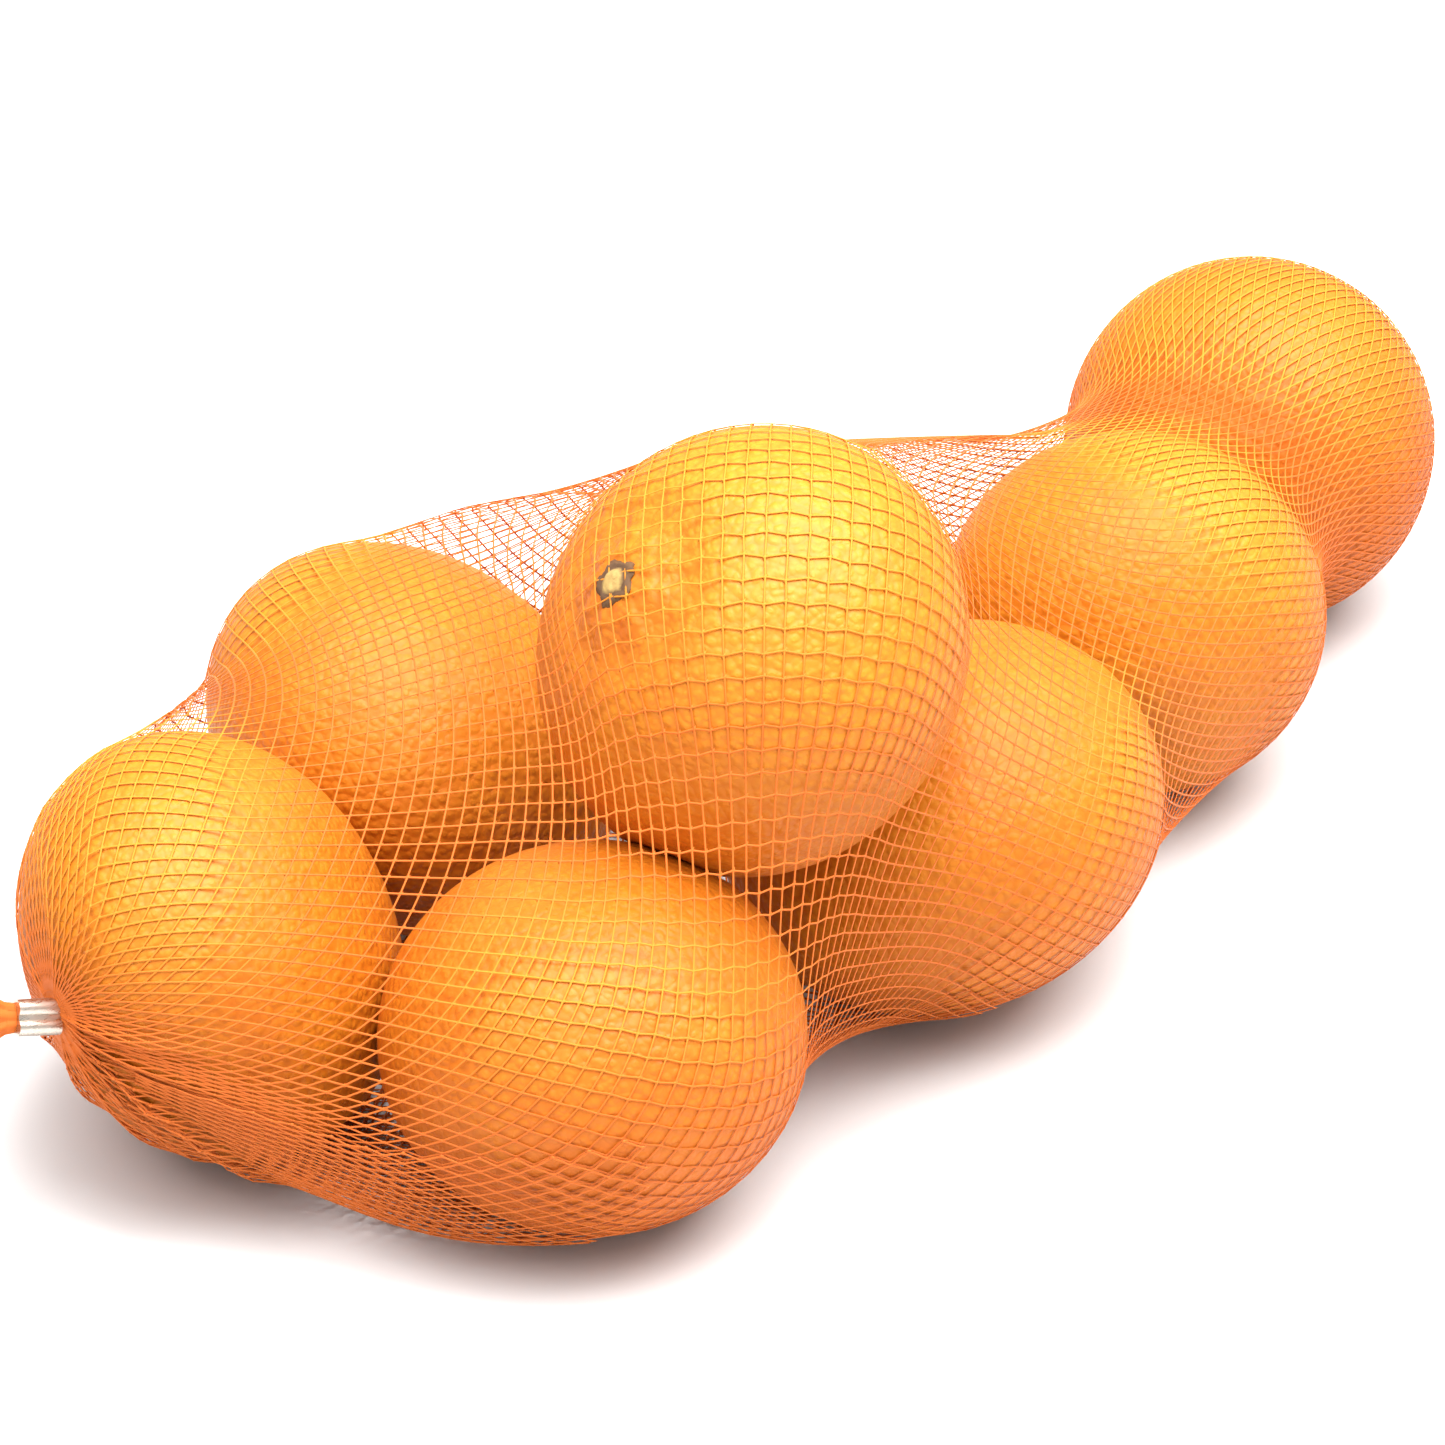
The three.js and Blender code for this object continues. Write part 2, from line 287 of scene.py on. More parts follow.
def add_node(tree, kind, inputs=None, **settings):
    """Adds a node; inputs holds a value or another node's socket for each of its sockets."""
    node = tree.nodes.new(kind)
    for name, value in settings.items():
        setattr(node, name, value)
    for key, value in (inputs or {}).items():
        if isinstance(value, bpy.types.NodeSocket):
            tree.links.new(value, node.inputs[key])
        else:
            node.inputs[key].default_value = value
    return node


def calc(tree, operation, *values):
    """A Math node's result."""
    return add_node(tree, "ShaderNodeMath", dict(enumerate(values)), operation=operation).outputs[0]


def vector_calc(tree, operation, *values):
    """A Vector Math node's result."""
    return add_node(tree, "ShaderNodeVectorMath", dict(enumerate(values)), operation=operation).outputs[0]


def product(tree, first, *others):
    """The product of several values."""
    for value in others:
        first = calc(tree, "MULTIPLY", first, value)
    return first


def combined(tree, *parts):
    """A vector from its three parts."""
    return add_node(tree, "ShaderNodeCombineXYZ", dict(enumerate(parts))).outputs[0]


def hump(tree, value, ring):
    """A smooth rise to 1 where a value is at the middle of a ring, given by its middle and width."""
    middle, width = ring
    distance = calc(tree, "DIVIDE", calc(tree, "SUBTRACT", value, middle), width)
    return calc(tree, "EXPONENT", calc(tree, "MULTIPLY", calc(tree, "POWER", distance, 2.0), -1.0))


def add_noise(tree, place, pattern, seed=None):
    """A Noise Texture with a pattern's scale and detail; a seed picks one of many like it."""
    scale, detail = pattern
    inputs = {"Vector": place, "Scale": scale, "Detail": detail}
    if seed is None:
        return add_node(tree, "ShaderNodeTexNoise", inputs)
    return add_node(tree, "ShaderNodeTexNoise", dict(inputs, W=seed), noise_dimensions="4D")


def ramp(tree, value, given, wanted=(0.0, 1.0)):
    """A value brought from one range to another, and kept in it."""
    return add_node(tree, "ShaderNodeMapRange", {
        "Value": value, "From Min": given[0], "From Max": given[1],
        "To Min": wanted[0], "To Max": wanted[1]}).outputs[0]


def blend(tree, share, first, second):
    """A colour between two others."""
    return add_node(tree, "ShaderNodeMix", {
        "Factor": share, "A": first, "B": second}, data_type="RGBA").outputs["Result"]


def add_bump(tree, shader, height, strength, depth):
    """Raises a shader's surface by a height, with its depth in millimetres."""
    bump = add_node(tree, "ShaderNodeBump", {
        "Height": height, "Strength": strength, "Distance": depth * MM})
    tree.links.new(bump.outputs[0], shader.inputs["Normal"])


def joint_vector(tree, name):
    """The vector that a mesh keeps under a name at each of its joints."""
    return add_node(tree, "GeometryNodeInputNamedAttribute", {
        "Name": name}, data_type="FLOAT_VECTOR").outputs[0]


def with_number(tree, geometry, name, value):
    """A shape that keeps a number under a name at each of its points, for its finish."""
    return add_node(tree, "GeometryNodeStoreNamedAttribute", {
        "Geometry": geometry, "Name": name, "Value": value}, data_type="FLOAT", domain="POINT").outputs[0]


def set_on_axis(tree, geometry, position, axis, place):
    """A shape with its points moved, then turned from upright to an axis and brought to its place."""
    shaped = add_node(tree, "GeometryNodeSetPosition", {"Geometry": geometry, "Position": position})
    turned = add_node(tree, "FunctionNodeAlignRotationToVector", {"Vector": axis}, axis="Z")
    return add_node(tree, "GeometryNodeTransform", {
        "Geometry": shaped.outputs[0], "Translation": place, "Rotation": turned.outputs[0]}).outputs[0]


def new_tree(name, inputs):
    """A geometry node tree with a geometry and named inputs, and its input and output nodes."""
    tree = bpy.data.node_groups.new(name, "GeometryNodeTree")
    tree.interface.new_socket("Geometry", in_out="INPUT", socket_type="NodeSocketGeometry")
    tree.interface.new_socket("Geometry", in_out="OUTPUT", socket_type="NodeSocketGeometry")
    for label, kind in inputs.items():
        tree.interface.new_socket(label, in_out="INPUT", socket_type="NodeSocket" + kind)
    return tree, tree.nodes.new("NodeGroupInput"), tree.nodes.new("NodeGroupOutput")


def finish_tree(tree, geometry, material, output):
    """Ends a tree: smooth shading, plain mesh, material."""
    smooth = add_node(tree, "GeometryNodeSetShadeSmooth", {"Geometry": geometry})
    plain = add_node(tree, "GeometryNodeRealizeInstances", {"Geometry": smooth.outputs[0]})
    finish = add_node(tree, "GeometryNodeSetMaterial", {
        "Geometry": plain.outputs[0], "Material": material})
    tree.links.new(finish.outputs[0], output.inputs[0])


def new_mesh(name, points, edges=(), vectors=None, numbers=None):
    """A mesh from points in millimetres, with any attributes given by name."""
    mesh = bpy.data.meshes.new(name)
    mesh.from_pydata((np.asarray(points) * MM).tolist(), list(edges), [])
    for label, values in (vectors or {}).items():
        attribute = mesh.attributes.new(label, "FLOAT_VECTOR", "POINT")
        attribute.data.foreach_set("vector", np.ascontiguousarray(values, np.float32).ravel())
    for label, values in (numbers or {}).items():
        attribute = mesh.attributes.new(label, "FLOAT", "POINT")
        attribute.data.foreach_set("value", np.ascontiguousarray(values, np.float32))
    return mesh


def grown(name, mesh, tree, inputs):
    """The plain mesh piece that a tree makes from a mesh, with the tree's inputs given by name."""
    carrier = bpy.data.objects.new(name + "_carrier", mesh)
    bpy.context.collection.objects.link(carrier)
    modifier = carrier.modifiers.new("tree", "NODES")
    modifier.node_group = tree
    for socket in tree.interface.items_tree:
        if socket.name in inputs:
            modifier[socket.identifier] = inputs[socket.name]
    depsgraph = bpy.context.evaluated_depsgraph_get()
    result = bpy.data.meshes.new_from_object(carrier.evaluated_get(depsgraph))
    bpy.data.objects.remove(carrier)
    piece = bpy.data.objects.new(name, result)
    bpy.context.collection.objects.link(piece)
    return piece


def smoothstep(value, start, end):
    """A smooth rise from 0 to 1 while a value goes from start to end."""
    share = np.clip((value - start) / (end - start), 0, 1)
    return share * share * (3 - 2 * share)


def unit(vectors):
    """Vectors brought to length 1."""
    vectors = np.asarray(vectors, float)
    return vectors / np.maximum(np.linalg.norm(vectors, axis=-1, keepdims=True), 1e-9)


# The fruit's places

for fruit in MANDARINS.values():
    lean, heading = math.radians(fruit["lean"]), math.radians(fruit["heading"])
    flat, rise = math.sin(lean), math.cos(lean)
    fruit["axis"] = np.array([flat * math.cos(heading), flat * math.sin(heading), rise])
    fruit["radius"] = fruit["across"] / 2
    reach_down = fruit["radius"] * math.hypot(flat, fruit["squat"] * rise)
    fruit["middle"] = np.array([fruit["x"], fruit["y"], fruit.get("z", reach_down - FLAT_SPOT_SINK)])


def reach(fruit, direction):
    """How far a mandarin reaches from its middle in a direction."""
    return fruit["radius"] * math.sqrt(1 - (1 - fruit["squat"] ** 2) * (direction @ fruit["axis"]) ** 2)


def from_middle(points, fruit):
    """Points' offsets from a mandarin's middle, those with it drawn out to a ball, and their lengths."""
    offset = points - fruit["middle"]
    along = offset @ fruit["axis"]
    drawn_out = offset + (along * (1 / fruit["squat"] - 1))[..., None] * fruit["axis"]
    return offset, drawn_out, np.linalg.norm(drawn_out, axis=-1)


def push_out(points):
    """Moves points inside a mandarin straight out over its peel, and points under the floor up to it."""
    for fruit in MANDARINS.values():
        offset, _, distance = from_middle(points, fruit)
        outside = fruit["radius"] + THREAD_GAP
        inside = distance < outside
        points[inside] = fruit["middle"] + offset[inside] * (outside / distance[inside])[:, None]
    points[..., 2] = np.maximum(points[..., 2], THREAD_THICKNESS / 2)
    return points


# The net's shape

def neck_ring(end, distance, shares):
    """A ring of the gathered net, outward from the middle of its clip, at shares of a turn."""
    out = unit(end["outward"])
    forward = out * end["runs"]
    side = unit(np.cross((0, 0, 1), forward))
    turn = math.radians(end["faces"])
    lobes = side * math.cos(turn) + np.cross(forward, side) * math.sin(turn)
    wide = np.cross(forward, lobes)
    opening = max(0, (distance - NECK_REACH) / TAIL_LENGTH)
    opened = math.sin(min(opening, 1) * math.pi / 2)
    half_width, half_height = (
        (1 - opened) * neck / 2 + opened * tail / 2 for neck, tail in zip(NECK_SIZE, TAIL_SIZE))
    angle = 2 * np.pi * shares - turn - np.pi / 2
    across = np.cos(angle)
    wave = TAIL_WAVE_HEIGHT * opening * np.sin(2 * np.pi * TAIL_WAVES * across)
    middle = np.asarray(end["at"]) + out * distance
    in_width = np.outer(half_width * across, wide)
    in_height = np.outer(half_height * np.sin(angle) + wave, lobes)
    return middle + in_width - in_height


def slackness(rings, left, hoop_pulls, bow):
    """The share of the pull that goes round each ring, and how far each point bows out."""
    wide = smoothstep(np.linalg.norm(left - rings, axis=2).sum(1), *WIDE_GIRTHS)[:, None, None]
    along_bag = rings[..., :1].mean(1, keepdims=True)
    hoop_pull = hoop_pulls[0] + (hoop_pulls[1] - hoop_pulls[0]) * smoothstep(along_bag, *FAR_END)
    low_bow = LOW_BOW[0] + (LOW_BOW[1] - LOW_BOW[0]) * smoothstep(along_bag, *NEAR_END)
    return hoop_pull, bow * wide * (1 + low_bow * (1 - smoothstep(rings[..., 2:], *LOW_HEIGHTS)))


def pull_tight():
    """The skin over the fruit: a loose egg-shaped tube, its points drawn in towards their neighbours."""
    bearing = np.pi * np.arange(SKIN_RINGS + 1)[:, None] / SKIN_RINGS
    shares = np.arange(SKIN_SEGMENTS) / SKIN_SEGMENTS
    angle = 2 * np.pi * shares[None]
    unit_egg = np.stack(np.broadcast_arrays(
        -np.cos(bearing), np.sin(bearing) * np.cos(angle), np.sin(bearing) * np.sin(angle)), axis=-1)
    skin = unit_egg * LOOSE_HALF_SIZE + LOOSE_CENTRE
    skin[0] = neck_ring(CLOSURES["near"], -NECK_REACH, shares)
    skin[-1] = neck_ring(CLOSURES["far"], -NECK_REACH, shares)
    for _ in range(SKIN_STEPS):
        left, right = np.roll(skin, -1, 1), np.roll(skin, 1, 1)
        hoop_pull, bow = slackness(skin[1:-1], left[1:-1], SKIN_HOOP_PULL, BOW)
        outwards = unit(np.cross((left - right)[1:-1], skin[2:] - skin[:-2]))
        along = (skin[:-2] + skin[2:]) * (1 - hoop_pull) / 2
        around = (left + right)[1:-1] * hoop_pull / 2
        skin[1:-1] = push_out(along + around + outwards * bow)
    return skin


def evened_rings(skin):
    """The skin with each ring's points the same distance apart, but closer where the slack hangs."""
    evened = np.empty_like(skin)
    for ring, points in zip(evened, skin):
        closed = np.vstack([points, points[:1]])
        height = (closed[1:, 2] + closed[:-1, 2]) / 2
        slack = FOOT_CROWDING * (1 - smoothstep(points[:, 0].mean(), *FOOT_RUN))
        crowding = 1 + slack * np.exp(-((height - FOOT_HEIGHT) / FOOT_SPREAD) ** 2)
        run = np.concatenate([[0], np.cumsum(np.linalg.norm(np.diff(closed, axis=0), axis=1) * crowding)])
        wanted = run[-1] * np.arange(len(points)) / len(points)
        for axis in range(3):
            ring[:, axis] = np.interp(wanted, run, closed[:, axis])
    return evened


def evened_columns(skin):
    """The skin with its rings moved along each column to hold equal counts of cells, and those counts."""
    girth = np.linalg.norm(np.roll(skin, -1, 1) - skin, axis=2).sum(1)
    half_cell = (girth[1:] + girth[:-1]) / 4 / CELLS_ROUND
    cell_step = np.sqrt(np.maximum(CELL_SIDE ** 2 - half_cell ** 2, (CELL_SIDE / 2) ** 2))
    step = np.linalg.norm(np.diff(skin, axis=0), axis=2) / cell_step[:, None]
    run = np.concatenate([np.zeros((1, SKIN_SEGMENTS)), np.cumsum(step, axis=0)])
    evened = np.empty_like(skin)
    for column in range(SKIN_SEGMENTS):
        wanted = np.linspace(0, run[-1, column], len(skin))
        for axis in range(3):
            evened[:, column, axis] = np.interp(wanted, run[:, column], skin[:, column, axis])
    return evened, run[-1]


def lay_net(skin):
    """The net's joints, ring by ring from cut end to cut end, each half a cell round from the last."""
    for _ in range(EVENING_ROUNDS):
        skin, counts = evened_columns(evened_rings(skin))
    skin = evened_rings(skin)
    body_rings = int(round(np.percentile(counts, NET_FULLNESS))) + 1
    end_distances = np.arange(NECK_REACH + TAIL_LENGTH, -NECK_REACH + CELL_SIDE / 2, -CELL_SIDE)
    end_rings = len(end_distances)
    rings = body_rings + 2 * end_rings
    shares = (np.arange(CELLS_ROUND)[None] + np.arange(rings)[:, None] / 2) / CELLS_ROUND
    net = np.zeros((rings, CELLS_ROUND, 3))
    for ring, distance in enumerate(end_distances):
        net[ring] = neck_ring(CLOSURES["near"], distance, shares[ring])
        net[-1 - ring] = neck_ring(CLOSURES["far"], distance, shares[-1 - ring])
    body = slice(end_rings, end_rings + body_rings)
    ring_at = np.linspace(0, SKIN_RINGS, body_rings)
    lower = np.minimum(ring_at.astype(int), SKIN_RINGS - 1)[:, None]
    column_at = shares[body] * SKIN_SEGMENTS
    left = np.floor(column_at).astype(int)
    along, around = ring_at[:, None, None] - lower[..., None], (column_at - left)[..., None]
    for ring, ring_share in ((lower, 1 - along), (lower + 1, along)):
        for column, column_share in ((left, 1 - around), (left + 1, around)):
            net[body] += skin[ring, column % SKIN_SEGMENTS] * ring_share * column_share
    tighten(net[body])
    gather(net[body], shares[body], NEAR_FOLDS)
    gather(net[body][::-1], shares[body][::-1], FAR_FOLDS)
    draw_together(net[body])
    ragged = np.random.default_rng(SEED).uniform(-RAGGED_CUT, 0, (2, CELLS_ROUND, 1))
    net[0] += ragged[0] * unit(CLOSURES["near"]["outward"])
    net[-1] += ragged[1] * unit(CLOSURES["far"]["outward"])
    return net


def gather(net, shares, folds):
    """Lifts folds in the net's first rings, next to its clip, and draws the threads together on them."""
    away = np.concatenate([[0], np.cumsum(np.linalg.norm(np.diff(net, axis=0), axis=2).mean(1))])[:, None]
    _, around, outward = net_directions(net)
    girth = np.linalg.norm(np.roll(net, -1, 1) - net, axis=2).sum(1, keepdims=True)
    if (outward * (net - net.mean(1, keepdims=True))).sum() < 0:
        outward = -outward
    for share, drift, height, peak, width in folds:
        aside = (shares - share - drift * away + 0.5) % 1 - 0.5
        lift = (away / peak * np.exp(1 - away / peak)) ** 2 * np.exp(-(aside / width) ** 2)
        bunched = FOLD_BUNCHING * lift * aside * girth
        net += outward * (height * lift)[..., None] - around * bunched[..., None]
    net[..., 2] = np.maximum(net[..., 2], THREAD_THICKNESS / 2)


def line_points(corners, count):
    """Points spread evenly over the stretches of a bent line."""
    spots = np.linspace(0, len(corners) - 1, count)
    return np.stack([np.interp(spots, range(len(corners)), axis) for axis in zip(*corners)], axis=-1)


def draw_together(net):
    """Moves joints beside the lines of pull towards them, over the net's own surface."""
    outward = net_directions(net)[2]
    for corners, width, strength in PULL_LINES:
        line = line_points(corners, PULL_LINE_POINTS)
        offsets = net[..., None, :] - line
        nearest = np.linalg.norm(offsets, axis=-1).argmin(-1)
        offset = np.take_along_axis(offsets, nearest[..., None, None], axis=-2)[..., 0, :]
        taper = np.sin(np.pi * nearest / (PULL_LINE_POINTS - 1)) ** 0.5
        drawn = strength * taper * np.exp(-(offset ** 2).sum(-1) / width ** 2)
        level = offset - (offset * outward).sum(-1, keepdims=True) * outward
        net -= level * drawn[..., None]
    push_out(net)


def lay_pleat(net, run, part, lift):
    """The second layer of the net where it lies double, and which joints are in it."""
    rings, columns = np.indices(net.shape[:2])
    shares = (columns + rings / 2) / CELLS_ROUND % 1
    along_bag = net[..., 0]
    laid = (shares > part[0]) & (shares < part[1]) & (along_bag > run[0]) & (along_bag < run[1])
    _, around, outward = net_directions(net)
    slant = PLEAT_SLANT * (along_bag - run[0])
    return push_out(net + outward * lift + around * slant[..., None]), laid


def painted_light_share(net):
    """How much painted light the net gets, from the way the peel under it faces: most on top of the fruit,
    none over the gaps, where it keeps its shaded colour.
    """
    gap = np.full(net.shape[:2], np.inf)
    rise = np.zeros(net.shape[:2])
    for fruit in MANDARINS.values():
        _, drawn_out, distance = from_middle(net, fruit)
        nearer = distance - fruit["radius"] < gap
        gap = np.where(nearer, distance - fruit["radius"], gap)
        rise = np.where(nearer, drawn_out[..., 2] / distance, rise)
    return smoothstep(rise, *LIT_NET_RISE) * (1 - smoothstep(gap, *LIT_NET_GAPS))


def net_directions(net):
    """Unit vectors along the bag, round it and outward at each joint of the net."""
    along = np.empty_like(net)
    along[1:-1] = net[2:] + np.roll(net[2:], 1, 1) - net[:-2] - np.roll(net[:-2], -1, 1)
    along[0], along[-1] = along[1], along[-2]
    around = unit(np.roll(net, -1, 1) - np.roll(net, 1, 1))
    return unit(along), around, unit(np.cross(around, along))


def tighten(net):
    """Brings all threads to one length and draws the net taut over the fruit. Its end rings stay."""
    ends = net[0].copy(), net[-1].copy()
    edges = np.concatenate([line_points(corners, TAUT_EDGE_POINTS) for corners in TAUT_EDGES])
    for step in range(NET_STEPS):
        if step % TAUT_EDGE_STEPS == 0:
            held = np.linalg.norm(net.reshape(-1, 1, 3) - edges, axis=2).argmin(0)
        for first in (0, 1):
            for roll in (0, 1):
                upper = net[first + 1::2]
                lower = net[first:-1:2][:len(upper)]
                thread = np.roll(upper, roll, 1) - lower
                length = np.linalg.norm(thread, axis=2, keepdims=True)
                excess = length - CELL_SIDE
                strength = np.where(excess > 0, LONG_THREAD_PULL, SHORT_THREAD_PUSH)
                pull = thread / length * excess * strength
                lower += pull
                upper -= np.roll(pull, -roll, 1)
        here, after, before = net[1:-1], net[2:], net[:-2]
        left, right = np.roll(here, -1, 1), np.roll(here, 1, 1)
        next_joints, last_joints = after + np.roll(after, 1, 1), before + np.roll(before, -1, 1)
        hoop_pull, bow = slackness(here, left, NET_HOOP_PULL, NET_BOW)
        middle = (next_joints + last_joints) * (1 - hoop_pull) / 4 + (left + right) * hoop_pull / 2
        outwards = unit(np.cross(left - right, next_joints - last_joints))
        rise = NET_TAUTNESS * ((middle - here) * outwards).sum(2, keepdims=True) + bow
        net[1:-1] = push_out(here + outwards * rise + NET_SMOOTHING * (middle - here))
        net.reshape(-1, 3)[held] += TAUT_EDGE_PULL * (edges - net.reshape(-1, 3)[held])
        net[0], net[-1] = ends


# Node trees

def peel_tree():
    """A mandarin: a ball with dimpled ends, furrows round them and low lumps."""
    tree, given, output = new_tree("mandarin peel", {
        "Across": "Float", "Squat": "Float", "Detail": "Int", "Stem Axis": "Vector", "Middle": "Vector",
        "Seed": "Float", "Lump Depth": "Float", "Shoulder Depth": "Float", "Furrow Depth": "Float",
        "Furrows": "Float", "Stem Well Depth": "Float", "Crown Depth": "Float", "Tint": "Float",
        "Peel": "Material"})
    size = given.outputs
    ball = add_node(tree, "GeometryNodeMeshIcoSphere", {"Radius": 1.0, "Subdivisions": size["Detail"]})
    place = tree.nodes.new("GeometryNodeInputPosition").outputs[0]
    x, y, z = add_node(tree, "ShaderNodeSeparateXYZ", {0: place}).outputs
    from_axis_squared = calc(tree, "SUBTRACT", 1.0, calc(tree, "POWER", z, 2.0))
    from_axis = calc(tree, "SQRT", calc(tree, "MAXIMUM", from_axis_squared, 0.0))
    stem_side = calc(tree, "GREATER_THAN", z, 0.0)
    crown_side = calc(tree, "LESS_THAN", z, 0.0)
    turn = calc(tree, "ARCTAN2", y, x)
    wobble = add_noise(tree, place, FURROW_NOISE, size["Seed"]).outputs[0]
    furrow_turn = calc(tree, "ADD", calc(tree, "MULTIPLY", turn, size["Furrows"]),
                       calc(tree, "MULTIPLY", wobble, FURROW_WOBBLE))
    furrow_wave = calc(tree, "MULTIPLY_ADD", calc(tree, "COSINE", furrow_turn), 0.5, 0.5)
    furrow = calc(tree, "MULTIPLY", hump(tree, from_axis, FURROW_RING), furrow_wave)
    end_share = calc(tree, "MULTIPLY_ADD", stem_side, 1 - CROWN_FURROWS, CROWN_FURROWS)
    lumps = add_noise(tree, place, LUMP_NOISE, size["Seed"]).outputs[0]
    depth = product(tree, stem_side, size["Shoulder Depth"], hump(tree, from_axis, SHOULDER_RING))
    for more in (
            product(tree, size["Furrow Depth"], furrow, end_share),
            product(tree, stem_side, size["Stem Well Depth"], hump(tree, from_axis, STEM_WELL)),
            product(tree, crown_side, size["Crown Depth"], hump(tree, from_axis, CROWN_WELL)),
            product(tree, size["Lump Depth"], lumps)):
        depth = calc(tree, "ADD", depth, more)
    sunk = calc(tree, "SUBTRACT", calc(tree, "MULTIPLY", size["Across"], 0.5), depth)
    squat_ball = vector_calc(tree, "MULTIPLY", place, combined(tree, 1.0, 1.0, size["Squat"]))
    sized = add_node(tree, "ShaderNodeVectorMath", {
        0: squat_ball, "Scale": sunk}, operation="SCALE").outputs[0]
    stem_end = calc(tree, "MULTIPLY", stem_side, hump(tree, from_axis, STEM_END))
    tint = calc(tree, "MULTIPLY_ADD", stem_end, STEM_END_TINT, size["Tint"])
    tinted = with_number(tree, ball.outputs["Mesh"], "tint", tint)
    placed = set_on_axis(tree, tinted, sized, size["Stem Axis"], size["Middle"])
    finish_tree(tree, placed, size["Peel"], output)
    return tree


def thread_tree():
    """Flat threads along the edges of a mesh, facing the way its "outward" attribute points."""
    tree, given, output = new_tree("net threads", {
        "Width": "Float", "Thickness": "Float", "Net": "Material"})
    size = given.outputs
    lines = add_node(tree, "GeometryNodeMeshToCurve", {"Mesh": size["Geometry"]})
    facing = add_node(tree, "GeometryNodeSetCurveNormal", {
        "Curve": lines.outputs[0], "Normal": joint_vector(tree, "outward")}, mode="FREE")
    round_section = add_node(tree, "GeometryNodeCurvePrimitiveCircle", {
        "Resolution": THREAD_SIDES, "Radius": 0.5})
    flat_top = add_node(tree, "GeometryNodeTransform", {
        "Geometry": round_section.outputs[0], "Rotation": (0, 0, math.pi / THREAD_SIDES)})
    section = add_node(tree, "GeometryNodeTransform", {
        "Geometry": flat_top.outputs[0], "Scale": combined(tree, size["Thickness"], size["Width"], 1.0)})
    threads = add_node(tree, "GeometryNodeCurveToMesh", {
        "Curve": facing.outputs[0], "Profile Curve": section.outputs[0], "Fill Caps": True})
    finish_tree(tree, threads.outputs[0], size["Net"], output)
    return tree


def joint_tree():
    """A flat bead at each point of a mesh, long the way its "along" attribute points."""
    tree, given, output = new_tree("net joints", {
        "Length": "Float", "Width": "Float", "Thickness": "Float", "Net": "Material"})
    size = given.outputs
    bead = add_node(tree, "GeometryNodeMeshUVSphere", {
        "Segments": JOINT_SEGMENTS, "Rings": JOINT_RINGS, "Radius": 0.5})
    turned = add_node(tree, "FunctionNodeAxesToRotation", {
        "Primary Axis": joint_vector(tree, "along"), "Secondary Axis": joint_vector(tree, "outward")},
        primary_axis="Z", secondary_axis="X")
    beads = add_node(tree, "GeometryNodeInstanceOnPoints", {
        "Points": size["Geometry"], "Instance": bead.outputs["Mesh"], "Rotation": turned.outputs[0],
        "Scale": combined(tree, size["Thickness"], size["Width"], size["Length"])})
    finish_tree(tree, beads.outputs[0], size["Net"], output)
    return tree


def button_tree():
    """The dry button at a stem end: a pale middle in a ring of ragged lobes, pressed on the peel."""
    tree, given, output = new_tree("stem button", {
        "Size": "Float", "Rise": "Float", "Lobes": "Float", "Seed": "Float", "Stem Axis": "Vector",
        "Place": "Vector", "Stem": "Material"})
    size = given.outputs
    ball = add_node(tree, "GeometryNodeMeshUVSphere", {
        "Segments": BUTTON_SEGMENTS, "Rings": BUTTON_RINGS, "Radius": 1.0})
    place = tree.nodes.new("GeometryNodeInputPosition").outputs[0]
    x, y, z = add_node(tree, "ShaderNodeSeparateXYZ", {0: place}).outputs
    from_axis = calc(tree, "SQRT", calc(
        tree, "ADD", calc(tree, "POWER", x, 2.0), calc(tree, "POWER", y, 2.0)))
    turn = calc(tree, "ARCTAN2", y, x)
    wear = add_noise(tree, place, BUTTON_NOISE, size["Seed"]).outputs[0]
    lobe_turn = calc(tree, "MULTIPLY_ADD", turn, size["Lobes"], calc(tree, "MULTIPLY", wear, LOBE_WOBBLE))
    lobe_reach = calc(tree, "MULTIPLY_ADD", calc(tree, "COSINE", lobe_turn), LOBE_WAVE, LOBE_REACH)
    worn_reach = calc(tree, "ADD", lobe_reach, calc(tree, "MULTIPLY", wear, LOBE_WEAR))
    edge_share = calc(tree, "POWER", from_axis, 2.0)
    lobed = calc(tree, "ADD", 1.0, calc(
        tree, "MULTIPLY", calc(tree, "SUBTRACT", worn_reach, 1.0), edge_share))
    half_size = product(tree, size["Size"], 0.5, lobed)
    groove = calc(tree, "MULTIPLY", hump(tree, from_axis, BUTTON_GROOVE), BUTTON_GROOVE_DEPTH)
    worn_height = calc(tree, "MULTIPLY_ADD", wear, HEIGHT_WEAR, BUTTON_HEIGHT)
    height = product(tree, z, size["Rise"], calc(tree, "SUBTRACT", worn_height, groove))
    moved = combined(
        tree, calc(tree, "MULTIPLY", x, half_size), calc(tree, "MULTIPLY", y, half_size), height)
    ringed = with_number(tree, ball.outputs["Mesh"], "from_middle", from_axis)
    placed = set_on_axis(tree, ringed, moved, size["Stem Axis"], size["Place"])
    finish_tree(tree, placed, size["Stem"], output)
    return tree


# Finishes

def new_finish(name):
    """A material, its node tree and its shader."""
    material = bpy.data.materials.new(name)
    material.use_nodes = True
    return material, material.node_tree, material.node_tree.nodes["Principled BSDF"]


